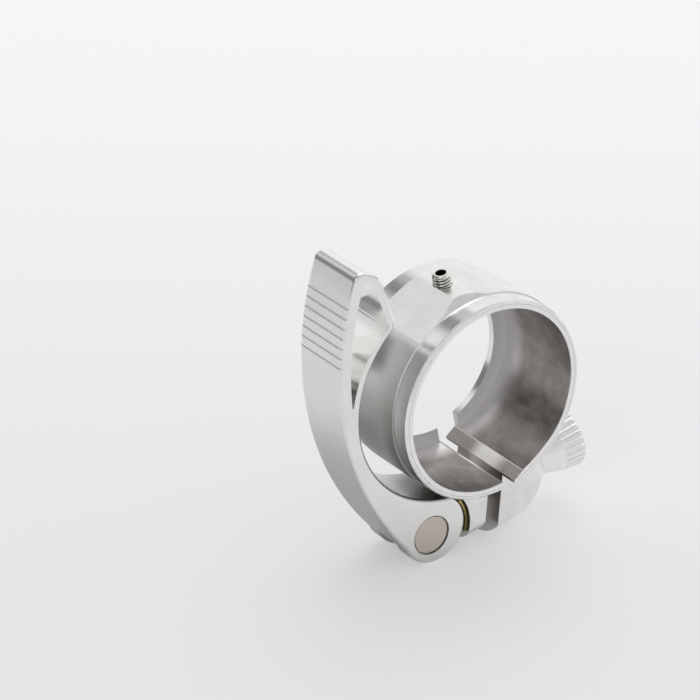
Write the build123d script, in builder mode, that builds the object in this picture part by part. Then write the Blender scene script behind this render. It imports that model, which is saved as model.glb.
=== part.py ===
"""Quick-release seatpost clamp: a split collar that a cam lever closes around a bicycle's seat tube."""

import os
from math import acos, asin, atan2, cos, degrees, hypot, pi, radians, sin, sqrt, tan

from build123d import *

# Collar, mm. Heights are measured square to the bolt, lengths along it, both from the bore's axis.
BORE_R = 20.3
BAND_WIDTH = 23.8
RIM_WALL = 1.75
RIM_WIDTH = 4.2
BODY_WALL = 2.0
BOSS_R = 12.0
BOSS_HEIGHT = 1.45
BOSS_ANGLE = 6.0
BEVEL_SLOPE = 38.0
FACET_ANGLE = 25.4
FACET_DEPTH = 0.2
RIM_CHAMFER = 0.35
LIP_R = 17.1
LIP_WIDTH = 1.6

# Ears that the bolt draws together
BOLT_LEVEL = -26.95
EAR_TOP = -14.0
CAM_EAR_R = 8.3
CAM_EAR_WIDTH = 14.4
CAM_EAR_REACH = 8.3
NUT_EAR_R = 10.0
NUT_EAR_WIDTH = 15.4
NUT_EAR_STRAIGHT = 5.5
NUT_EAR_REACH = 13.4
NUT_EAR_END_R = 5.8

# Slit between the ears, which leans away from the square to the bolt
SLIT_WIDTH = 3.0
SLIT_LEAN = 16.0
SLIT_AT_BOLT = -1.2
SLIT_MOUTH = 5.4
SLIT_MOUTH_SHIFT = 1.1
SLIT_MOUTH_DEPTH = 1.4

# Bolt, pivot pin and cam washer
BOLT_R = 2.95
BOLT_CLEARANCE = 0.05
THREAD_R = 2.5
THREAD_CLEARANCE = 0.05
PIN_R = 4.4
PIN_END_R = 4.1
PIN_END_LENGTH = 1.2
PIN_CLEARANCE = 0.05
PIN_RECESS = 0.25
PIN_AT = -17.35
BOLT_IN_PIN = 2.5
BOLT_FIT = 0.02
WASHER_THICKNESS = 0.9
WASHER_WIDTH = 13.4
WASHER_SPAN = 50.0
SADDLE_R = 9.2
CAM_GAP = 0.12

# Lever
LEVER_WIDTH = 14.4
LEVER_EDGE = 0.8
BACK_R = 68.3
BACK_AT = (-32.7, 6.2)
BELLY_R = 24.9
BELLY_AT = (-29.3, 3.2)
HEAD_R = 7.6
CAM_OFFSET = (1.15, 0.65)
TIP_TOP = 41.3
TIP_BREADTH = 5.1
TIP_DROP = 3.2
TIP_ROUND = 2.1
TIP_FRONT_ROUND = 5.5
ELBOW = (-16.4, 25.4)
ELBOW_ROUND = 2.4
HEEL_AT = (-23.7, -27.8)
HEEL_ROUND = 6.0
NECK_AT = (-10.9, -20.8)
NECK_ROUND = 3.0
WALL = 2.4
WALL_BELLY = 1.9
WALL_FRONT = 1.7
WALL_TIP = 3.2
WALL_TIP_FRONT = 2.35
WINDOW_APEX = 12.0
WINDOW_ROUND = 0.6
OPENING_ANGLE = 150.0
SLOT_WIDTH = 6.4
SLOT_CLEARANCE = 0.35
GROOVE_COUNT = 7
GROOVE_PITCH = 2.15
GROOVE_R = 0.3
GROOVE_DEPTH = 0.15
GROOVE_START = 22.0

# Thumb nut
NUT_GAP = 0.1
NUT_LENGTH = 10.6
NUT_HUB_R = 4.7
NUT_RIB_LENGTH = 5.2
NUT_R = 7.3
NUT_TAPER = 8.0
NUT_EDGE = 0.9
NUT_RIBS = 30
RIB_GROOVE_R = 0.62
RIB_GROOVE_DEPTH = 0.42
BOLT_END_INSET = 0.5

# Set screw
SCREW_R = 2.0
SCREW_CLEARANCE = 0.05
SCREW_AT = 0.3
SCREW_RISE = 2.45
SCREW_LENGTH = 6.0
SCREW_SOCKET = 2.0
SCREW_SOCKET_DEPTH = 1.8
SCREW_CONE = 0.5

# Places worked out from the sizes
RIM_R = BORE_R + RIM_WALL
BODY_R = BORE_R + BODY_WALL
BOSS_PEAK = BODY_R + BOSS_HEIGHT
HALF_BAND = BAND_WIDTH / 2
HALF_LEVER = LEVER_WIDTH / 2
HEAD_CENTRE = (PIN_AT + CAM_OFFSET[0], BOLT_LEVEL + CAM_OFFSET[1])
BACK_CENTRE = (BACK_AT[0] + BACK_R, BACK_AT[1])
BELLY_CENTRE = (BELLY_AT[0] + BELLY_R, BELLY_AT[1])
BOLT_HOLE_R = BOLT_R + BOLT_CLEARANCE

# The clamp stands on the lever's head and on the edge of the nut's ear beside the slit
LEAN_SHIFT = tan(radians(SLIT_LEAN))
EAR_BOTTOM = BOLT_LEVEL - NUT_EAR_R
EAR_CORNER = SLIT_AT_BOLT + SLIT_WIDTH / 2 / cos(radians(SLIT_LEAN)) - NUT_EAR_R * LEAN_SHIFT
TO_HEAD = (HEAD_CENTRE[0] - EAR_CORNER, HEAD_CENTRE[1] - EAR_BOTTOM)
STAND_TILT = degrees(acos(HEAD_R / hypot(*TO_HEAD)) - atan2(-TO_HEAD[0], TO_HEAD[1]))
ALONG = Vector(cos(radians(STAND_TILT)), 0, sin(radians(STAND_TILT)))
UP = Vector(-sin(radians(STAND_TILT)), 0, cos(radians(STAND_TILT)))
ACROSS = Vector(0, 1, 0)
BOLT_DIRECTION = Axis((0, 0, 0), (ALONG.X, ALONG.Y, ALONG.Z))


def side_plane(y=0.0):
    """A view along the bore: first axis along the bolt, second square to it, normal towards -Y."""
    return Plane(origin=(0, y, 0), x_dir=ALONG, z_dir=(0, -1, 0))


def bolt_plane(along, level=BOLT_LEVEL):
    """Square to the bolt: first axis along the bore, second upwards, normal along the bolt."""
    return Plane(origin=ALONG * along + UP * level, x_dir=ACROSS, z_dir=ALONG)


def slit_line(level, side):
    """Where a wall of the slit stands at a level: side is -1 on the cam's side, 1 on the nut's."""
    return SLIT_AT_BOLT + (level - BOLT_LEVEL) * LEAN_SHIFT + side * SLIT_WIDTH / 2 / cos(radians(SLIT_LEAN))


def slit_half(side):
    """Outline of all that lies on one side of the slit, to keep there."""
    low, high = 2 * EAR_BOTTOM, BORE_R
    return Polyline(
        (slit_line(low, side), low),
        (slit_line(high, side), high),
        (side * BACK_R, high),
        (side * BACK_R, low),
        close=True,
    )


# Ear on the lever's side: round about the bolt, flat on its two sides, rising into the band
SADDLE_CENTRE = HEAD_CENTRE[0] - sqrt((SADDLE_R - HEAD_R - CAM_GAP) ** 2 - CAM_OFFSET[1] ** 2)
SEAT_R = SADDLE_R + WASHER_THICKNESS
CAM_EAR_FACE = -CAM_EAR_REACH
with BuildPart() as cam_ear:
    with BuildSketch(bolt_plane(CAM_EAR_FACE)):
        Circle(CAM_EAR_R)
        with Locations((0, (EAR_TOP - BOLT_LEVEL) / 2)):
            Rectangle(2 * CAM_EAR_R, EAR_TOP - BOLT_LEVEL)
        Rectangle(CAM_EAR_WIDTH, 4 * BORE_R, mode=Mode.INTERSECT)
    extrude(amount=CAM_EAR_REACH + BORE_R)
    with BuildSketch(side_plane(HALF_BAND)):
        with Locations((SADDLE_CENTRE, BOLT_LEVEL)):
            Circle(SEAT_R)
    extrude(amount=BAND_WIDTH, mode=Mode.SUBTRACT)
    with BuildSketch(side_plane(HALF_BAND)):
        with BuildLine():
            slit_half(-1)
        make_face()
    extrude(amount=BAND_WIDTH, mode=Mode.INTERSECT)

# Ear on the nut's side: the same section, drawn in to a smaller round face for the nut
with BuildPart() as nut_ear:
    with BuildSketch(Plane(origin=UP * BOLT_LEVEL, x_dir=ALONG, z_dir=UP)) as ear_plan:
        with BuildLine():
            half_way = NUT_EAR_STRAIGHT + (NUT_EAR_REACH - NUT_EAR_STRAIGHT) * 0.52
            half_width = NUT_EAR_END_R + (NUT_EAR_R - NUT_EAR_END_R) * 0.63
            shoulder = (NUT_EAR_STRAIGHT, NUT_EAR_R)
            ear_end = (NUT_EAR_REACH, NUT_EAR_END_R)
            Line((-BORE_R, 0), (-BORE_R, NUT_EAR_R))
            Line((-BORE_R, NUT_EAR_R), shoulder)
            ThreePointArc(shoulder, (half_way, half_width), ear_end)
            Line(ear_end, (NUT_EAR_REACH, 0))
            Line((NUT_EAR_REACH, 0), (-BORE_R, 0))
        make_face()
    revolve(axis=Axis(UP * BOLT_LEVEL, ALONG))
    extrude(ear_plan.sketch, amount=EAR_TOP - BOLT_LEVEL)
    extrude(mirror(ear_plan.sketch, about=Plane.XZ, mode=Mode.PRIVATE), amount=EAR_TOP - BOLT_LEVEL)
    with BuildSketch(side_plane(NUT_EAR_WIDTH / 2)):
        with BuildLine():
            slit_half(1)
        make_face()
    extrude(amount=NUT_EAR_WIDTH, mode=Mode.INTERSECT)

# Collar: a band with narrower rims, a raised boss for the set screw, the ears and an inner lip
with BuildPart() as collar:
    with BuildSketch(side_plane(HALF_BAND)):
        Circle(BODY_R)
        with Locations(Location((0, 0), BOSS_ANGLE)):
            with Locations((0, BOSS_PEAK - BOSS_R)):
                Circle(BOSS_R)
    extrude(amount=BAND_WIDTH)
    with BuildSketch(Plane.XY) as turned_form:
        bevel_height = BOSS_PEAK - RIM_R + RIM_CHAMFER
        bevel_run = bevel_height * tan(radians(BEVEL_SLOPE))
        with BuildLine():
            Polyline(
                (0, -HALF_BAND),
                (RIM_R - RIM_CHAMFER, -HALF_BAND),
                (RIM_R, -HALF_BAND + RIM_CHAMFER),
                (RIM_R, -HALF_BAND + RIM_WIDTH),
                (RIM_R + bevel_height, -HALF_BAND + RIM_WIDTH + bevel_run),
                (RIM_R + bevel_height, HALF_BAND - RIM_WIDTH - bevel_run),
                (RIM_R, HALF_BAND - RIM_WIDTH),
                (RIM_R, HALF_BAND - RIM_CHAMFER),
                (RIM_R - RIM_CHAMFER, HALF_BAND),
                (0, HALF_BAND),
                close=True,
            )
        make_face()
    revolve(axis=Axis.Y, mode=Mode.INTERSECT)
    with BuildSketch(side_plane(HALF_BAND)):
        with Locations(Location((0, 0), FACET_ANGLE)):
            with Locations((0, BODY_R - FACET_DEPTH + BOSS_R / 2)):
                Rectangle(2 * BOSS_R, BOSS_R)
    extrude(amount=BAND_WIDTH, mode=Mode.SUBTRACT)
    add(cam_ear.part)
    add(nut_ear.part)
    with BuildSketch(side_plane(HALF_BAND - LIP_WIDTH)):
        Circle(BORE_R)
    extrude(amount=BAND_WIDTH, mode=Mode.SUBTRACT)
    with BuildSketch(side_plane(HALF_BAND)):
        Circle(LIP_R)
    extrude(amount=BAND_WIDTH, mode=Mode.SUBTRACT)
    with BuildSketch(side_plane(HALF_BAND)):
        mouth_level = -sqrt(BORE_R**2 - (SLIT_MOUTH / 2) ** 2)
        throat_level = mouth_level - SLIT_MOUTH_DEPTH
        mouth_at = slit_line(mouth_level, 0) + SLIT_MOUTH_SHIFT
        with BuildLine():
            Polyline(
                (mouth_at - SLIT_MOUTH / 2, mouth_level),
                (mouth_at - SLIT_MOUTH / 2, 0),
                (mouth_at + SLIT_MOUTH / 2, 0),
                (mouth_at + SLIT_MOUTH / 2, mouth_level),
                (slit_line(throat_level, 1), throat_level),
                (slit_line(2 * EAR_BOTTOM, 1), 2 * EAR_BOTTOM),
                (slit_line(2 * EAR_BOTTOM, -1), 2 * EAR_BOTTOM),
                (slit_line(throat_level, -1), throat_level),
                close=True,
            )
        make_face()
    extrude(amount=BAND_WIDTH, mode=Mode.SUBTRACT)
    with BuildSketch(bolt_plane(-SEAT_R)):
        Circle(BOLT_HOLE_R)
    extrude(amount=SEAT_R + 2 * NUT_EAR_REACH, mode=Mode.SUBTRACT)
    with BuildSketch(Plane(origin=ALONG * SCREW_AT, x_dir=ACROSS, z_dir=UP)):
        Circle(SCREW_R + SCREW_CLEARANCE)
    extrude(amount=2 * BOSS_PEAK, mode=Mode.SUBTRACT)
collar.part.label = "collar"

# Cam washer: a curved brass strip in the ear's hollow seat, which the lever's cam runs on
with BuildPart() as cam_washer:
    with BuildSketch(side_plane(WASHER_WIDTH / 2)):
        with BuildLine():
            middle = (SADDLE_CENTRE, BOLT_LEVEL)
            outer = CenterArc(middle, SEAT_R, -WASHER_SPAN / 2, WASHER_SPAN)
            inner = CenterArc(middle, SADDLE_R, -WASHER_SPAN / 2, WASHER_SPAN)
            Line(outer @ 0, inner @ 0)
            Line(outer @ 1, inner @ 1)
        make_face()
    extrude(amount=WASHER_WIDTH)
    with BuildSketch(bolt_plane(-SEAT_R)):
        Circle(BOLT_HOLE_R)
    extrude(amount=SEAT_R, mode=Mode.SUBTRACT)
cam_washer.part.label = "cam_washer"

# Pivot pin: a rod along the bore's direction, turned down at its ends and cross-drilled for the bolt
with BuildPart() as pivot_pin:
    with BuildSketch(side_plane(HALF_LEVER - PIN_RECESS)):
        with Locations((PIN_AT, BOLT_LEVEL)):
            Circle(PIN_END_R)
    extrude(amount=LEVER_WIDTH - 2 * PIN_RECESS)
    with BuildSketch(side_plane(HALF_LEVER - PIN_END_LENGTH)):
        with Locations((PIN_AT, BOLT_LEVEL)):
            Circle(PIN_R)
    extrude(amount=LEVER_WIDTH - 2 * PIN_END_LENGTH)
    with BuildSketch(bolt_plane(PIN_AT - BOLT_IN_PIN - BOLT_FIT)):
        Circle(BOLT_R + BOLT_FIT)
    extrude(amount=2 * PIN_R, mode=Mode.SUBTRACT)
pivot_pin.part.label = "pivot_pin"

# Bolt: a shank through both ears, and a thread for the nut
NUT_START = NUT_EAR_REACH + NUT_GAP
with BuildPart() as skewer_bolt:
    with BuildSketch(bolt_plane(PIN_AT - BOLT_IN_PIN)):
        Circle(BOLT_R)
    extrude(amount=NUT_EAR_REACH - NUT_GAP - PIN_AT + BOLT_IN_PIN)
    with BuildSketch(bolt_plane(NUT_EAR_REACH - NUT_GAP)):
        Circle(THREAD_R)
    extrude(amount=2 * NUT_GAP + NUT_LENGTH - BOLT_END_INSET)
    chamfer(skewer_bolt.edges().group_by(BOLT_DIRECTION)[-1], NUT_GAP * 3)
skewer_bolt.part.label = "skewer_bolt"


# Lever: a hollow handle that follows the band, with a slotted cam head around the pin
def on_back(level, inset=0.0):
    """The point of the handle's back, or of a line inside it, at a level."""
    return (BACK_CENTRE[0] - sqrt((BACK_R - inset) ** 2 - (level - BACK_CENTRE[1]) ** 2), level)


def on_belly(level, inset=0.0):
    """The point of the handle's belly, or of a line inside it, at a level."""
    return (BELLY_CENTRE[0] - sqrt((BELLY_R + inset) ** 2 - (level - BELLY_CENTRE[1]) ** 2), level)


def back_arc(low, high, inset=0.0):
    """An arc along the handle's back between two levels."""
    return ThreePointArc(on_back(low, inset), on_back((low + high) / 2, inset), on_back(high, inset))


def belly_arc(low, high, inset=0.0):
    """An arc along the handle's belly between two levels."""
    return ThreePointArc(on_belly(low, inset), on_belly((low + high) / 2, inset), on_belly(high, inset))


def corners(part, *places):
    """The edges along the bore's direction that stand nearest to the given (along, level) places."""
    rails = part.edges().filter_by(Axis.Y)
    found = []
    for along, level in places:
        spot = ALONG * along + UP * level
        found.append(min(rails, key=lambda edge: (edge.center() - spot - ACROSS * edge.center().Y).length))
    return found


with BuildPart() as lever:
    tip_back = on_back(TIP_TOP)
    tip_front = (tip_back[0] + TIP_BREADTH, TIP_TOP - TIP_DROP)
    front_slope = (tip_front[0] - ELBOW[0]) / (tip_front[1] - ELBOW[1])
    front_foot = (ELBOW[0] + front_slope * (BELLY_CENTRE[1] - ELBOW[1]), BELLY_CENTRE[1])
    low = HEAD_CENTRE[1] - HEAD_R * 0.6
    with BuildSketch(side_plane(HALF_LEVER)):
        with BuildLine():
            back_arc(low, TIP_TOP)
            Polyline(tip_back, tip_front, front_foot, HEAD_CENTRE, on_back(low))
        make_face()
        with Locations(HEAD_CENTRE):
            Circle(HEAD_R)
        with Locations(BELLY_CENTRE):
            Circle(BELLY_R, mode=Mode.SUBTRACT)
    extrude(amount=LEVER_WIDTH)
    fillet(corners(lever, tip_back), TIP_ROUND)
    fillet(corners(lever, tip_front), TIP_FRONT_ROUND)
    fillet(corners(lever, ELBOW), ELBOW_ROUND)
    fillet(corners(lever, NECK_AT), NECK_ROUND)
    fillet(corners(lever, HEEL_AT), HEEL_ROUND)
    fillet(lever.faces().filter_by(Axis.Y).edges(), LEVER_EDGE)
    window_top = TIP_TOP - WALL_TIP
    window_front = (tip_front[0] - WALL_TIP_FRONT, window_top)
    window_in = (ELBOW[0] - WALL_FRONT, ELBOW[1])
    belly_top = window_in[1] - WALL_TIP_FRONT
    with BuildSketch(side_plane(HALF_LEVER)):
        with BuildLine():
            back_arc(WINDOW_APEX, window_top, WALL)
            Polyline(on_back(window_top, WALL), window_front, window_in, on_belly(belly_top, WALL_BELLY))
            belly_arc(WINDOW_APEX, belly_top, WALL_BELLY)
            Line(on_belly(WINDOW_APEX, WALL_BELLY), on_back(WINDOW_APEX, WALL))
        make_face()
    extrude(amount=LEVER_WIDTH, mode=Mode.SUBTRACT)
    fillet(corners(lever, on_back(window_top, WALL), window_front, window_in), WINDOW_ROUND)
    for number in range(GROOVE_COUNT):
        first = asin((GROOVE_START - BACK_CENTRE[1]) / BACK_R)
        angle = first + number * GROOVE_PITCH / BACK_R
        reach = BACK_R + GROOVE_R - GROOVE_DEPTH
        with BuildSketch(side_plane(HALF_LEVER)):
            with Locations((BACK_CENTRE[0] - reach * cos(angle), BACK_CENTRE[1] + reach * sin(angle))):
                Circle(GROOVE_R)
        extrude(amount=LEVER_WIDTH, mode=Mode.SUBTRACT)
    with BuildSketch(side_plane(HALF_LEVER)):
        with Locations((PIN_AT, BOLT_LEVEL)):
            Circle(PIN_R + PIN_CLEARANCE)
    extrude(amount=LEVER_WIDTH, mode=Mode.SUBTRACT)
    half_slot = BOLT_HOLE_R + SLOT_CLEARANCE
    reach = 3 * HEAD_R
    with BuildSketch(side_plane(SLOT_WIDTH / 2)):
        with BuildLine():
            open_x, open_z = cos(radians(OPENING_ANGLE)), -sin(radians(OPENING_ANGLE))
            Polyline(
                (PIN_AT + reach, BOLT_LEVEL + half_slot),
                (PIN_AT, BOLT_LEVEL + half_slot),
                (PIN_AT + open_z * half_slot, BOLT_LEVEL - open_x * half_slot),
                (
                    PIN_AT + open_x * reach + open_z * half_slot,
                    BOLT_LEVEL + open_z * reach - open_x * half_slot,
                ),
                (PIN_AT + open_x * reach, BOLT_LEVEL - reach),
                (PIN_AT + reach, BOLT_LEVEL - reach),
                close=True,
            )
        make_face()
    extrude(amount=SLOT_WIDTH, mode=Mode.SUBTRACT)
lever.part.label = "lever"

# Thumb nut: a ribbed knob that widens outwards, threaded onto the bolt's end
with BuildPart() as thumb_nut:
    flare = NUT_RIB_LENGTH * tan(radians(NUT_TAPER))
    nut_end = NUT_START + NUT_LENGTH
    ribs_start = nut_end - NUT_RIB_LENGTH
    with BuildSketch(Plane(origin=UP * BOLT_LEVEL, x_dir=ALONG, z_dir=(0, -1, 0))) as nut_form:
        with BuildLine():
            Polyline(
                (NUT_START, THREAD_R + THREAD_CLEARANCE),
                (NUT_START, NUT_HUB_R),
                (ribs_start, NUT_R - flare),
                (nut_end, NUT_R),
                (nut_end, THREAD_R + THREAD_CLEARANCE),
                close=True,
            )
        make_face()
        fillet(nut_form.vertices().sort_by_distance((nut_end, NUT_R))[0], NUT_EDGE)
    revolve(axis=Axis(UP * BOLT_LEVEL, ALONG))
    taper = radians(NUT_TAPER)
    for number in range(NUT_RIBS):
        angle = 2 * pi * number / NUT_RIBS
        outward = ACROSS * cos(angle) + UP * sin(angle)
        start = ALONG * ribs_start + UP * BOLT_LEVEL
        start += outward * (NUT_R - flare - RIB_GROOVE_DEPTH + RIB_GROOVE_R)
        with BuildSketch(Plane(origin=start, z_dir=ALONG * cos(taper) + outward * sin(taper))):
            Circle(RIB_GROOVE_R)
        extrude(amount=NUT_RIB_LENGTH + 2 * NUT_EDGE, mode=Mode.SUBTRACT)
thumb_nut.part.label = "thumb_nut"

# Set screw: a short threaded stud with a hexagon socket, standing proud of the boss
screw_top = UP * (BOSS_PEAK + SCREW_RISE) + ALONG * SCREW_AT
with BuildPart() as set_screw:
    with BuildSketch(Plane(origin=screw_top - UP * SCREW_LENGTH, x_dir=ACROSS, z_dir=UP)):
        Circle(SCREW_R)
    extrude(amount=SCREW_LENGTH)
    chamfer(set_screw.edges().filter_by(GeomType.CIRCLE), SCREW_CONE)
    with BuildSketch(Plane(origin=screw_top, x_dir=ACROSS, z_dir=UP)):
        RegularPolygon(SCREW_SOCKET / 2, 6, major_radius=False)
    extrude(amount=-SCREW_SOCKET_DEPTH, mode=Mode.SUBTRACT)
set_screw.part.label = "set_screw"

os.makedirs("parts", exist_ok=True)
export_step(collar.part, "parts/collar.step")
export_step(cam_washer.part, "parts/cam_washer.step")
export_step(pivot_pin.part, "parts/pivot_pin.step")
export_step(skewer_bolt.part, "parts/skewer_bolt.step")
export_step(lever.part, "parts/lever.step")
export_step(thumb_nut.part, "parts/thumb_nut.step")
export_step(set_screw.part, "parts/set_screw.step")
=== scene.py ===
"""Quick-release seatpost clamp in polished aluminium, steel and brass, on a pale studio floor."""

from math import cos, pi, radians, sin

import bmesh
import bpy
from mathutils import Euler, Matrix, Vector


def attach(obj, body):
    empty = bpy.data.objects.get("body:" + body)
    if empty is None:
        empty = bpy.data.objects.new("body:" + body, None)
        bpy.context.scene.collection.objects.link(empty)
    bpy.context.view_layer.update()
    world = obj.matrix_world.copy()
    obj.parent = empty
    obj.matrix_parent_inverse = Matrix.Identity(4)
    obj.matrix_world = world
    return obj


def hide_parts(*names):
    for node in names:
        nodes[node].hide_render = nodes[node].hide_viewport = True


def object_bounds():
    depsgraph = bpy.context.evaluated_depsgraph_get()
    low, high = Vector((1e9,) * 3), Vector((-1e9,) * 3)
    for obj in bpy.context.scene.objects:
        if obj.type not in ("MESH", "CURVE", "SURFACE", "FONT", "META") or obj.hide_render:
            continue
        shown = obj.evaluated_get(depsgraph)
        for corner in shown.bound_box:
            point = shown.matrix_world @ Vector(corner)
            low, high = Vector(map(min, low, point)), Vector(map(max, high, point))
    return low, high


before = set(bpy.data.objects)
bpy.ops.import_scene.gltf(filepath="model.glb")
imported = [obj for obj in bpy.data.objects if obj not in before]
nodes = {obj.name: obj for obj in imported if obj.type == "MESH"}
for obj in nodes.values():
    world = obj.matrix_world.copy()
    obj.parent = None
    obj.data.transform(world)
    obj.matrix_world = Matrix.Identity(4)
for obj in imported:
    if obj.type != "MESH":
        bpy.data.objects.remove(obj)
cad_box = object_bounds()

MM = 0.001
MICRON = 0.000001

# Sizes that the finishes and the thread follow, in millimetres from the bore's axis
STAND_TILT = radians(11.891)
BORE_R = 20.3
LIP_DEPTH = 10.3
BODY_R = 22.3
RING_LINE_R = 21.25
BAND_HALF = 11.9
RIM_WIDTH = 4.2
BOLT_LEVEL = -26.95
SLIT_AT_BOLT = -1.2
SLIT_SLOPE = 0.2867
SLIT_HALF = 1.56
SLIT_TOP = -20.4
MOUTH_TOP = -20.0
MOUTH_FOOT = -22.0
MOUTH_LEFT = -1.4
MOUTH_RIGHT = 4.8
LEVER_HALF = 7.2
WINDOW_FOOT = 8.0
BACK_CENTRE = (35.6, 6.2)
BACK_R = 68.3
BELLY_CENTRE = (-4.4, 3.2)
BELLY_R = 24.9
GROOVE_START = 15.945
GROOVE_PITCH = 2.15
GROOVES_LONG = 13.5
SADDLE_CENTRE = -17.53
WASHER_MIDDLE_R = 9.65
PIN_AT = -17.35
SCREW_AT = 0.3
SCREW_TOP = 26.2
SCREW_LENGTH = 6.0
SCREW_R = 2.0
THREAD_PITCH = 0.7
THREAD_DEPTH = 0.36
SCREW_CONE = 0.5
SOCKET_HALF = 1.0
SOCKET_DEPTH = 1.8
SOCKET_CHAMFER = 0.12
SOCKET_FLARE = 1.08
THREAD_INSET = 0.01
THREAD_FLANK = 1.35
THREAD_COLUMNS = 48
THREAD_ROWS = 8
MERGE_DISTANCE = 0.01

# Where a finish starts to change and where it is full, in millimetres
BORE_DEEP = (3.0, 9.0)
BORE_HIGH = (9.0, 20.0)
BORE_LOW = (-17.0, -6.0)
MOUTH_LIT = (-7.5, -2.5)
MOUTH_SHADED = (1.0, 5.0)
FACE_DENTED = (-8.0, -4.0)
BAND_FOOT = (-20.5, -19.5)
BAND_SHADE_LEVEL = (3.0, 18.0)
BAND_SHADE_ALONG = (-2.0, 4.0)
WASHER_LOW = (-27.5, -22.5)

# Tones of the metals
POLISHED = (0.95, 0.95, 0.945, 1)
SATIN = (0.80, 0.80, 0.795, 1)
CLOUDED = (0.62, 0.61, 0.60, 1)
BAND_SHADE_TONE = (0.30, 0.285, 0.275, 1)
BORE_BROWN = (0.265, 0.235, 0.228, 1)
BORE_GREY = (0.40, 0.365, 0.355, 1)
BORE_PAINTED_LIGHT = (0.95, 0.94, 0.935, 1)
GRIT = (0.66, 0.63, 0.61, 1)
SLIT_GREY = (0.78, 0.76, 0.75, 1)
MOUTH_PAINTED_SHADE = (0.40, 0.36, 0.345, 1)
MOUTH_PAINTED_LIGHT = (0.95, 0.93, 0.91, 1)
LIP_PAINTED_SHEEN = (0.97, 0.965, 0.96, 1)
PIT = (0.42, 0.41, 0.41, 1)
DENT = (0.24, 0.235, 0.23, 1)
RING_LINE = (0.30, 0.30, 0.30, 1)
LEVER_SATIN = (0.84, 0.84, 0.83, 1)
LEVER_BRIGHT = (0.94, 0.94, 0.93, 1)
BRUSH_LINE = (0.64, 0.635, 0.625, 1)
SCRATCH = (0.50, 0.49, 0.48, 1)
GROOVE_SHADE = (0.42, 0.41, 0.40, 1)
NICK = (0.40, 0.39, 0.38, 1)
NUT_SATIN = (0.88, 0.88, 0.875, 1)
NUT_BRIGHT = (0.96, 0.96, 0.955, 1)
PIN_GREY = (0.62, 0.56, 0.50, 1)
PIN_PALE = (0.76, 0.70, 0.63, 1)
BOLT_GREY = (0.22, 0.21, 0.20, 1)
BOLT_PALE = (0.36, 0.34, 0.32, 1)
BRASS = (0.44, 0.32, 0.10, 1)
BRASS_PALE = (0.66, 0.51, 0.20, 1)
BRASS_BROWN = (0.20, 0.15, 0.06, 1)
PAINTED_GAP_SHADOW = (0.05, 0.042, 0.03, 1)
SCREW_GREY = (0.76, 0.74, 0.71, 1)
SCREW_PALE = (0.94, 0.92, 0.90, 1)
PAINTED_RECESS_SHADE = (0.04, 0.035, 0.03, 1)

# Camera, in metres, degrees and pixels of a 700 pixel square picture
CAMERA_PLACE = (-437.27 * MM, -569.09 * MM, 373.18 * MM)
CAMERA_AZIMUTH = -35.756
CAMERA_ELEVATION = 27.081
CAMERA_ROLL = 0.586
FOCAL_PIXELS = 3929.5
PICTURE_PIXELS = 700
SENSOR_MM = 36.0

# Floor: the camera sees all of its glow, and the metals mirror less of it close under the clamp, a painted
# shadow in its reflection
FLOOR_HALF = 3.0
FLOOR_COLOUR = (0.46, 0.461, 0.463, 1.0)
BLACK = (0, 0, 0, 1)
NEAR_GLOW = (0.415, 0.415, 0.415, 1.0)
FAR_GLOW = (0.53, 0.53, 0.53, 1.0)
NEAR_EDGE, FAR_EDGE = -0.06, 0.30
SHADOW_POOL_MIDDLE = (-0.02, 0.02, 0.0)
SHADOW_POOL_INNER, SHADOW_POOL_OUTER = 0.037, 0.062
SHADOW_POOL_SHARE = 0.2

# Studio walls: each side is a direction, and how near it a wall starts and is full
PALE = (0.90, 0.902, 0.905, 1.0)
BRIGHT_WALL = (0.92, 0.92, 0.915, 1.0)
FRONT_WALL = (0.62, 0.62, 0.617, 1.0)
DIM_WALL = (0.20, 0.198, 0.195, 1.0)
BRIGHT_SIDE = ((0.55, 0.45, 0.70), 0.40, 0.76)
CARD_SIDE = ((-0.36, 0.70, 0.61), 0.955, 0.990)
GAP_SIDE = ((0.02, 0.70, 0.71), 0.955, 0.982)
FRONT_SIDE = ((0, -1, 0), 0.05, 0.6)

# Lamps: place in metres, size in metres and power in watts
LAMPS = {"overhead": ((0.25, 0.35, 1.1), 0.9, 1.9), "left": ((-0.9, -0.5, 0.7), 0.6, 0.8)}


class Signal:
    """A node's output that can stand in a Python expression."""

    def __init__(self, finish, socket):
        self.finish, self.socket = finish, socket

    def __add__(self, other):
        return self.finish.maths("ADD", self, other)

    def __radd__(self, other):
        return self.finish.maths("ADD", other, self)

    def __sub__(self, other):
        return self.finish.maths("SUBTRACT", self, other)

    def __rsub__(self, other):
        return self.finish.maths("SUBTRACT", other, self)

    def __mul__(self, other):
        return self.finish.maths("MULTIPLY", self, other)

    def __rmul__(self, other):
        return self.finish.maths("MULTIPLY", other, self)

    def __truediv__(self, other):
        return self.finish.maths("DIVIDE", self, other)

    def __pow__(self, other):
        return self.finish.maths("POWER", self, other)


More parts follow.
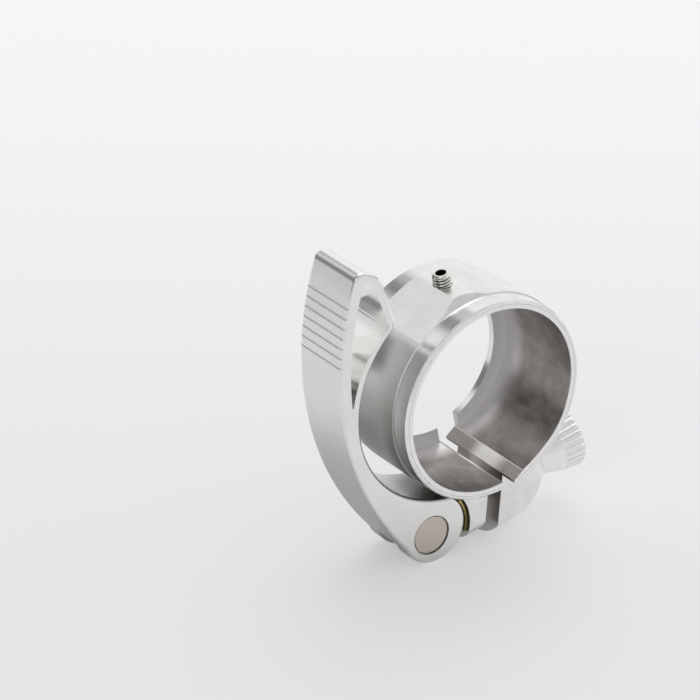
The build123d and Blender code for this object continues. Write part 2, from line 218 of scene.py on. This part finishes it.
class Finish:
    """A material, or the world, whose nodes are written as expressions."""

    def __init__(self, owner):
        owner.use_nodes = True
        self.owner, self.tree = owner, owner.node_tree
        self.shader = self.tree.nodes.get("Principled BSDF")

    def node(self, kind, settings=None, sockets=None, output=0):
        """Adds one node: its settings are set first, then its sockets get values or links."""
        made = self.tree.nodes.new("ShaderNode" + kind)
        for name, value in (settings or {}).items():
            setattr(made, name, value)
        for name, value in (sockets or {}).items():
            self.feed(made.inputs[name], value)
        return Signal(self, made.outputs[output])

    def feed(self, socket, value):
        """Sets a socket to a value, or links it to a signal."""
        if isinstance(value, Signal):
            self.tree.links.new(value.socket, socket)
        else:
            socket.default_value = value

    def maths(self, operation, first, second=0.0):
        return self.node("Math", {"operation": operation}, {0: first, 1: second})

    def size(self, value):
        """A value without its sign."""
        return self.maths("ABSOLUTE", value)

    def larger(self, first, second):
        return self.maths("MAXIMUM", first, second)

    def facing(self, vector, direction):
        """How far a vector reaches in a direction."""
        return self.node("VectorMath", {"operation": "DOT_PRODUCT"}, {0: vector, 1: direction}, 1)

    def distance(self, vector, middle):
        return self.node("VectorMath", {"operation": "DISTANCE"}, {0: vector, 1: middle}, 1)

    def blend(self, factor, first, second):
        """Mixes two colours."""
        return self.node("Mix", {"data_type": "RGBA"}, {0: factor, 6: first, 7: second}, 2)

    def step(self, value, low, high):
        """Rises smoothly from 0 at low to 1 at high."""
        settings = {"interpolation_type": "SMOOTHSTEP"}
        return self.node("MapRange", settings, {"Value": value, "From Min": low, "From Max": high})

    def fall(self, value, low, high):
        """Falls smoothly from 1 at low to 0 at high."""
        return 1 - self.step(value, low, high)

    def parts(self, vector):
        """The three numbers of a vector."""
        split = self.node("SeparateXYZ", sockets={"Vector": vector})
        return [Signal(self, output) for output in split.socket.node.outputs]

    def join(self, x, y, z):
        return self.node("CombineXYZ", sockets={"X": x, "Y": y, "Z": z})

    def place(self):
        """Where a point of the surface is, in the clamp's own frame."""
        return self.node("TexCoord", output="Object")

    def noise(self, place, scale, detail, roughness):
        """Even mottling, about 0.5 on average."""
        sockets = {"Vector": place, "Scale": scale, "Detail": detail, "Roughness": roughness}
        return self.node("TexNoise", sockets=sockets)

    def bump(self, height, microns):
        """Raises the surface by height, which runs from 0 to 1, times a depth."""
        sockets = {"Height": height, "Distance": microns * MICRON, "Strength": 1.0}
        return self.node("Bump", sockets=sockets)

    def set(self, **values):
        """Feeds the shader's sockets: an underscore in a name stands for a space."""
        for name, value in values.items():
            self.feed(self.shader.inputs[name.replace("_", " ")], value)


def new_finish(name):
    return Finish(bpy.data.materials.new(name))


class ClampPlaces:
    """Where a point of the surface is, in millimetres on the clamp's own directions."""

    def __init__(self, finish):
        x, y, z = (part * (1 / MM) for part in finish.parts(finish.place()))
        self.finish = finish
        self.along = x * cos(STAND_TILT) + z * sin(STAND_TILT)
        self.level = z * cos(STAND_TILT) - x * sin(STAND_TILT)
        self.across = y
        self.aside = finish.size(y)
        self.out = (x * x + z * z) ** 0.5

    def from_centre(self, centre):
        """How far a point is from a line along the bore's direction."""
        sideways, upward = self.along - centre[0], self.level - centre[1]
        return (sideways * sideways + upward * upward) ** 0.5

    def mottle(self, scale, detail, roughness):
        """Mottling with the same grain in every direction."""
        places = self.finish.join(self.along, self.across, self.level)
        return self.finish.noise(places, scale, detail, roughness)

    def streaks(self, along, across, level, detail, roughness):
        """Mottling with its own grain in each direction."""
        places = self.finish.join(self.along * along, self.across * across, self.level * level)
        return self.finish.noise(places, 1.0, detail, roughness)


def collar_masks(finish, at):
    """The collar's surfaces: each mask is 1 on its own surface and 0 elsewhere."""
    inside = finish.fall(at.out, BORE_R + 0.04, BORE_R + 0.12)
    outside = finish.step(at.out, BORE_R + 0.6, BORE_R + 0.8)
    behind_face = finish.step(at.across, 0.15 - BAND_HALF, 0.3 - BAND_HALF)
    lip = finish.step(at.across, LIP_DEPTH - 0.15, LIP_DEPTH - 0.05)
    lip_face = lip * inside * finish.fall(at.across, LIP_DEPTH + 0.05, LIP_DEPTH + 0.15)
    bore = inside * behind_face * (1 - lip)
    skin = outside * finish.fall(at.aside, BAND_HALF - 0.5, BAND_HALF - 0.3)
    body = skin * finish.fall(at.aside, BAND_HALF - RIM_WIDTH, BAND_HALF - RIM_WIDTH + 0.1)

    off_slit = finish.size(at.along - SLIT_AT_BOLT - (at.level - BOLT_LEVEL) * SLIT_SLOPE)
    walls = finish.fall(off_slit, SLIT_HALF + 0.05, SLIT_HALF + 0.12)
    walls = walls * finish.fall(at.level, SLIT_TOP - 0.6, SLIT_TOP)
    mouth = finish.fall(at.level, MOUTH_TOP - 0.3, MOUTH_TOP)
    mouth = mouth * finish.step(at.along, MOUTH_LEFT, MOUTH_LEFT + 0.2)
    mouth = mouth * finish.fall(at.along, MOUTH_RIGHT - 0.2, MOUTH_RIGHT)
    above_foot = finish.step(at.level, MOUTH_FOOT, MOUTH_FOOT + 0.1)
    slit = finish.larger(walls, mouth * above_foot) * behind_face
    return behind_face, lip_face, bore, skin, body, slit, mouth * slit


def bore_tone(finish, at, smear, grit):
    """Dull brown smears in the bore, with painted light making it paler towards its top and its far end."""
    dull = finish.blend(smear, BORE_BROWN, BORE_GREY)
    # Painted light: paler towards the bore's top and its far end, where light reaches in.
    painted_light_end = finish.larger(finish.step(at.across, *BORE_DEEP), finish.step(at.level, *BORE_HIGH) * 0.7)
    dull = finish.blend(painted_light_end * 0.95, dull, BORE_PAINTED_LIGHT)
    return finish.blend(grit * 0.45, dull, GRIT)


def skin_tone(finish, at, skin, body):
    """Bright drawn metal, clouded here and there, with painted shade on the band's side towards the lever,
    standing in for dark things it mirrors.
    """
    drawn = at.streaks(0.55, 0.05, 0.55, 3.0, 0.55)
    clouds = finish.step(at.mottle(0.16, 3.0, 0.55), 0.35, 0.65)
    bright = finish.blend(drawn, SATIN, POLISHED)
    bright = finish.blend(skin * clouds * 0.22, bright, CLOUDED)
    on_band = finish.fall(at.out, BODY_R + 0.2, BODY_R + 0.5) * finish.step(at.level, *BAND_FOOT)
    # Painted shade: the band's side towards the lever is darkened, standing in for dark things it mirrors.
    painted_shade_side = finish.fall(at.level, *BAND_SHADE_LEVEL) * finish.fall(at.along, *BAND_SHADE_ALONG)
    return drawn, finish.blend(body * on_band * painted_shade_side * 0.85, bright, BAND_SHADE_TONE)


def collar_aluminium():
    """Turned and polished band: bright outside, dull and smeared in the bore, dark in the slit, with
    painted light and painted shade in places.
    """
    finish = new_finish("collar_polish")
    at = ClampPlaces(finish)
    behind_face, lip_face, bore, skin, body, slit, mouth = collar_masks(finish, at)
    turned_places = finish.join(at.out * 3.2, at.across * 3.2, at.along * 0.04)
    turned = finish.noise(turned_places, 1.0, 4.0, 0.7)
    pits = finish.step(at.mottle(1.9, 2.0, 0.5), 0.70, 0.75)
    smear = finish.step(at.streaks(0.3, 0.22, 0.3, 5.0, 0.6), 0.35, 0.70)
    low = finish.fall(at.level, *BORE_LOW)
    grit = finish.step(at.mottle(3.4, 3.0, 0.6), 0.60, 0.68) * low

    drawn, bright = skin_tone(finish, at, skin, body)
    tone = finish.blend(bore, bright, bore_tone(finish, at, smear, grit))
    tone = finish.blend(slit, tone, SLIT_GREY)
    # Painted light and shade on the slit's mouth: paler in its middle, darker towards its ends.
    lit = finish.step(at.across, *MOUTH_LIT) * finish.fall(at.across, *MOUTH_SHADED)
    tone = finish.blend(mouth, tone, finish.blend(lit, MOUTH_PAINTED_SHADE, MOUTH_PAINTED_LIGHT))
    tone = finish.blend(pits * (1 - bore) * 0.4, tone, PIT)
    front_face = 1 - behind_face
    dents = finish.step(at.mottle(1.1, 2.0, 0.6), 0.66, 0.70) * finish.fall(at.along, *FACE_DENTED)
    tone = finish.blend(dents * front_face * 0.6, tone, DENT)
    ring_line = finish.fall(finish.size(at.out - RING_LINE_R), 0.05, 0.09)
    tone = finish.blend(ring_line * front_face * 0.5, tone, RING_LINE)
    # Painted reflection: the lip's front face is plain white and not metallic, standing in for the light it
    # mirrors.
    tone = finish.blend(lip_face, tone, LIP_PAINTED_SHEEN)

    worn = 0.13 + 0.08 * turned + 0.08 * drawn + body * 0.04 + bore * (0.10 + 0.08 * smear) + slit * 0.15
    finish.set(Base_Color=tone, Metallic=1 - lip_face, Roughness=worn)
    finish.set(Normal=finish.bump(turned * 0.10 + grit * bore * 0.8 + pits * -0.6, microns=12))
    return finish.owner


def lever_aluminium():
    """Milled and tumbled lever: satin sides, a brushed back, and a mirror inside its window."""
    finish = new_finish("lever_polish")
    at = ClampPlaces(finish)
    under_back = BACK_R - at.from_centre(BACK_CENTRE)
    under_belly = at.from_centre(BELLY_CENTRE) - BELLY_R
    side_face = finish.step(at.aside, LEVER_HALF - 0.12, LEVER_HALF - 0.02)
    around = 1 - side_face
    back = finish.fall(under_back, 0.3, 0.6) * around
    near_side = finish.step(at.aside, LEVER_HALF - 0.9, LEVER_HALF - 0.7)
    edge = finish.fall(under_back, 0.75, 0.95) * around * near_side
    window = finish.step(under_back, 1.6, 2.0) * finish.step(under_belly, 1.2, 1.6)
    window = window * finish.step(at.level, WINDOW_FOOT, WINDOW_FOOT + 2) * around
    window_foot = window * finish.fall(at.level, WINDOW_FOOT + 2, WINDOW_FOOT + 9)

    run = finish.maths("ARCSINE", (at.level - BACK_CENTRE[1]) / BACK_R) * BACK_R - GROOVE_START
    off_groove = finish.size(finish.maths("FRACT", run / GROOVE_PITCH + 0.5) - 0.5)
    grooved = finish.step(run, -0.6, -0.5) * finish.fall(run, GROOVES_LONG - 0.1, GROOVES_LONG)
    grooves = grooved * back * finish.fall(off_groove, 0.03, 0.10)
    brushed = at.streaks(0.4, 0.05, 3.5, 4.0, 0.7)
    scratches = finish.step(at.streaks(0.5, 0.12, 5.0, 2.0, 0.4), 0.66, 0.72)
    tumbled = at.mottle(2.4, 4.0, 0.6)
    nicks = finish.step(at.mottle(2.1, 2.0, 0.5), 0.71, 0.75)

    tone = finish.blend(at.mottle(0.13, 2.0, 0.5), LEVER_SATIN, LEVER_BRIGHT)
    tone = finish.blend(back * brushed * 0.5, tone, BRUSH_LINE)
    tone = finish.blend(back * scratches * 0.45, tone, SCRATCH)
    # Painted shade: a dark line along each groove of the back.
    tone = finish.blend(grooves * 0.4, tone, GROOVE_SHADE)
    tone = finish.blend(nicks * 0.45, tone, NICK)
    worn = 0.26 + 0.10 * tumbled + back * (0.10 * brushed - 0.04) - window * 0.20 - edge * 0.14
    finish.set(Base_Color=tone, Metallic=1 - window_foot * 0.6, Roughness=worn + window_foot * 0.15)
    finish.set(Normal=finish.bump(tumbled * side_face * 0.5 + back * brushed * 0.6 - nicks, microns=10))
    return finish.owner


def nut_aluminium():
    """Turned thumb nut with fine rings on its hub and its outer face."""
    finish = new_finish("nut_polish")
    at = ClampPlaces(finish)
    rings = at.streaks(4.0, 0.2, 0.2, 3.0, 0.6)
    tone = finish.blend(at.mottle(0.5, 3.0, 0.5), NUT_SATIN, NUT_BRIGHT)
    finish.set(Base_Color=tone, Metallic=1.0, Roughness=0.28 + 0.12 * rings)
    finish.set(Normal=finish.bump(rings, microns=8))
    return finish.owner


def pin_steel():
    """Cut and lightly ground pin: faint rings around its middle on a warm grey."""
    finish = new_finish("pin_steel")
    at = ClampPlaces(finish)
    ring_places = finish.join(at.from_centre((PIN_AT, BOLT_LEVEL)) * 2.6, 0.0, 0.0)
    rings = finish.noise(ring_places, 1.0, 3.0, 0.6)
    grain = at.mottle(1.3, 4.0, 0.65)
    tone = finish.blend(grain, PIN_GREY, PIN_PALE)
    finish.set(Base_Color=tone, Metallic=1.0, Roughness=0.42 + 0.12 * grain)
    finish.set(Normal=finish.bump(rings * 0.6 + grain * 0.6, microns=8))
    return finish.owner


def bolt_steel():
    """Dark turned steel."""
    finish = new_finish("bolt_steel")
    grain = ClampPlaces(finish).mottle(1.6, 4.0, 0.6)
    tone = finish.blend(grain, BOLT_GREY, BOLT_PALE)
    finish.set(Base_Color=tone, Metallic=1.0, Roughness=0.3 + 0.15 * grain)
    finish.set(Normal=finish.bump(grain, microns=6))
    return finish.owner


def washer_brass():
    """Formed brass strip, bright at its top, and dark towards its seat, a painted shadow of the gap beside
    the ear.
    """
    finish = new_finish("washer_brass")
    at = ClampPlaces(finish)
    grain = at.mottle(1.6, 4.0, 0.6)
    from_saddle = at.from_centre((SADDLE_CENTRE, BOLT_LEVEL)) + grain * 0.1
    # Painted shadow: the strip's half towards its seat is darkened, where the gap beside the ear lies in
    # shade.
    gap_shadow = finish.step(from_saddle, WASHER_MIDDLE_R, WASHER_MIDDLE_R + 0.12)
    tone = finish.blend(grain, BRASS, BRASS_PALE)
    tone = finish.blend(finish.fall(at.level, *WASHER_LOW), tone, BRASS_BROWN)
    finish.set(Base_Color=finish.blend(gap_shadow, tone, PAINTED_GAP_SHADOW), Metallic=1.0)
    finish.set(Roughness=0.3 + 0.12 * grain + 0.2 * gap_shadow, Normal=finish.bump(grain, microns=6))
    return finish.owner


def screw_steel():
    """Bright thread crests and top; painted shade darkens the thread roots and the socket."""
    finish = new_finish("screw_steel")
    at = ClampPlaces(finish)
    off_axis = at.along - SCREW_AT
    radius = (at.across * at.across + off_axis * off_axis) ** 0.5
    crest = finish.step(radius, SCREW_R - THREAD_DEPTH * 0.75, SCREW_R - THREAD_DEPTH * 0.25)
    top = finish.step(at.level, SCREW_TOP - 0.55, SCREW_TOP - 0.45)
    top = top * finish.step(radius, SOCKET_HALF + 0.1, SOCKET_HALF + 0.25)
    grain = at.mottle(2.6, 3.0, 0.6)
    bright = finish.blend(grain, SCREW_GREY, SCREW_PALE)
    # Painted shade in the thread roots and the socket.
    tone = finish.blend(finish.larger(crest, top), PAINTED_RECESS_SHADE, bright)
    finish.set(Base_Color=tone, Metallic=1.0, Roughness=0.12 + 0.10 * grain)
    finish.set(Normal=finish.bump(grain, microns=5))
    return finish.owner


def dress(node, material):
    """Gives a piece its finish."""
    mesh = nodes[node].data
    mesh.materials.clear()
    mesh.materials.append(material)


dress("collar", collar_aluminium())
dress("lever", lever_aluminium())
dress("thumb_nut", nut_aluminium())
dress("pivot_pin", pin_steel())
dress("skewer_bolt", bolt_steel())
dress("cam_washer", washer_brass())


def thread_rows(turns):
    """Rows of points about the screw's axis, from its foot up to its top, in millimetres."""
    foot = SCREW_TOP - SCREW_LENGTH
    steps = round(SCREW_LENGTH / THREAD_PITCH * THREAD_ROWS)
    rows = [[(0.0, 0.0, foot)] * len(turns)]
    for step in range(steps + 1):
        rise = SCREW_LENGTH * step / steps
        cone = max(0.0, SCREW_CONE - rise, SCREW_CONE - (SCREW_LENGTH - rise))
        row = []
        for turn in turns:
            phase = (rise / THREAD_PITCH - turn / (2 * pi)) % 1.0
            flank = min(1.0, abs(2 * phase - 1) * THREAD_FLANK)
            radius = min(SCREW_R - THREAD_INSET - THREAD_DEPTH * (1 - flank), SCREW_R - cone)
            row.append((radius * cos(turn), radius * sin(turn), foot + rise))
        rows.append(row)
    return rows


def socket_rows(turns):
    """Rows of points down a hexagon socket with a chamfered mouth."""
    rows = []
    hexagon = [SOCKET_HALF / cos((turn + pi / 6) % (pi / 3) - pi / 6) for turn in turns]
    wall = ((SOCKET_CHAMFER, 1.0), (SOCKET_DEPTH, 1.0))
    for depth, share in ((0.0, SOCKET_FLARE), *wall, (SOCKET_DEPTH, 0.0)):
        radii = [share * flat for flat in hexagon]
        level = SCREW_TOP - depth
        rows.append([(radius * cos(turn), radius * sin(turn), level) for radius, turn in zip(radii, turns)])
    return rows


def in_place(x, y, level):
    """A point about the screw's axis, moved onto the tilted clamp, in metres."""
    along = SCREW_AT + x
    return (
        (along * cos(STAND_TILT) - level * sin(STAND_TILT)) * MM,
        y * MM,
        (along * sin(STAND_TILT) + level * cos(STAND_TILT)) * MM,
    )


def threaded_screw():
    """Short socket screw: a helical thread with a chamfered top and a hexagon socket."""
    columns = THREAD_COLUMNS
    turns = [2 * pi * column / columns for column in range(columns)]
    rows = thread_rows(turns) + socket_rows(turns)
    points = [in_place(*point) for row in rows for point in row]
    faces = []
    for row in range(len(rows) - 1):
        for column in range(columns):
            follower = (column + 1) % columns
            low, high = row * columns, (row + 1) * columns
            faces.append((low + column, low + follower, high + follower, high + column))
    mesh = bpy.data.meshes.new("set_screw_thread")
    mesh.from_pydata(points, [], faces)
    shape = bmesh.new()
    shape.from_mesh(mesh)
    bmesh.ops.remove_doubles(shape, verts=shape.verts, dist=MERGE_DISTANCE * MM)
    bmesh.ops.recalc_face_normals(shape, faces=shape.faces)
    shape.to_mesh(mesh)
    shape.free()
    screw = bpy.data.objects.new("set_screw_thread", mesh)
    bpy.context.scene.collection.objects.link(screw)
    mesh.materials.append(screw_steel())
    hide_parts("set_screw")
    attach(screw, "set_screw")


threaded_screw()


def pale_floor():
    """A large even floor at the height that the clamp stands on."""
    level = cad_box[0].z
    signs = ((-1, -1), (1, -1), (1, 1), (-1, 1))
    corners = [(x * FLOOR_HALF, y * FLOOR_HALF, level) for x, y in signs]
    mesh = bpy.data.meshes.new("floor")
    mesh.from_pydata(corners, [], [(0, 1, 2, 3)])
    floor = bpy.data.objects.new("floor", mesh)
    bpy.context.scene.collection.objects.link(floor)
    finish = new_finish("floor_paint")
    # Painted shadow: a pool under the clamp where the metals mirror less of the floor's glow.
    off_shadow_pool = finish.step(finish.distance(finish.place(), SHADOW_POOL_MIDDLE), SHADOW_POOL_INNER, SHADOW_POOL_OUTER)
    mirrored = finish.node("LightPath", output="Is Glossy Ray") * (SHADOW_POOL_SHARE + (1 - SHADOW_POOL_SHARE) * off_shadow_pool)
    seen = finish.larger(finish.node("LightPath", output="Is Camera Ray"), mirrored)
    view = (-sin(radians(CAMERA_AZIMUTH)), cos(radians(CAMERA_AZIMUTH)), 0)
    away = finish.step(finish.facing(finish.place(), view), NEAR_EDGE, FAR_EDGE)
    glow = finish.blend(away, NEAR_GLOW, FAR_GLOW)
    finish.set(Base_Color=FLOOR_COLOUR, Roughness=0.6)
    finish.set(Emission_Color=finish.blend(seen, BLACK, glow), Emission_Strength=1.0)
    mesh.materials.append(finish.owner)


def soft_light(name, place, size, power):
    """A square soft box that faces the clamp."""
    lamp = bpy.data.lights.new(name, "AREA")
    lamp.shape, lamp.size, lamp.energy = "SQUARE", size, power
    box = bpy.data.objects.new(name, lamp)
    box.location = place
    box.rotation_euler = (-Vector(place)).to_track_quat("-Z", "Y").to_euler()
    bpy.context.scene.collection.objects.link(box)


def studio_world():
    """Pale for the camera; for the metals a dim room with a bright side, a card and a dark gap."""
    world = bpy.data.worlds.new("studio")
    bpy.context.scene.world = world
    finish = Finish(world)
    seen = finish.node("LightPath", output="Is Camera Ray")
    toward = finish.node("TexCoord", output="Generated")
    bright, card, gap, front = (
        finish.step(finish.facing(toward, direction), start, full)
        for direction, start, full in (BRIGHT_SIDE, CARD_SIDE, GAP_SIDE, FRONT_SIDE)
    )
    room = finish.blend(front, DIM_WALL, FRONT_WALL)
    room = finish.blend(finish.larger(bright * (1 - gap), card), room, BRIGHT_WALL)
    background = finish.tree.nodes["Background"]
    finish.feed(background.inputs["Color"], finish.blend(seen, room, PALE))
    finish.feed(background.inputs["Strength"], 1.0)


def make_camera():
    """The photograph's view of the clamp."""
    data = bpy.data.cameras.new("camera")
    data.sensor_width = SENSOR_MM
    data.lens = FOCAL_PIXELS * SENSOR_MM / PICTURE_PIXELS
    data.clip_start, data.clip_end = 0.01, 20.0
    camera = bpy.data.objects.new("camera", data)
    camera.location = CAMERA_PLACE
    turned = Euler((radians(90 - CAMERA_ELEVATION), 0, radians(CAMERA_AZIMUTH)), "XYZ").to_matrix()
    camera.rotation_euler = (turned @ Euler((0, 0, radians(CAMERA_ROLL))).to_matrix()).to_euler()
    bpy.context.scene.collection.objects.link(camera)
    bpy.context.scene.camera = camera


pale_floor()
studio_world()
for lamp_name, (lamp_place, lamp_size, lamp_power) in LAMPS.items():
    soft_light(lamp_name, lamp_place, lamp_size, lamp_power)
make_camera()
bpy.context.scene.view_settings.view_transform = "Standard"
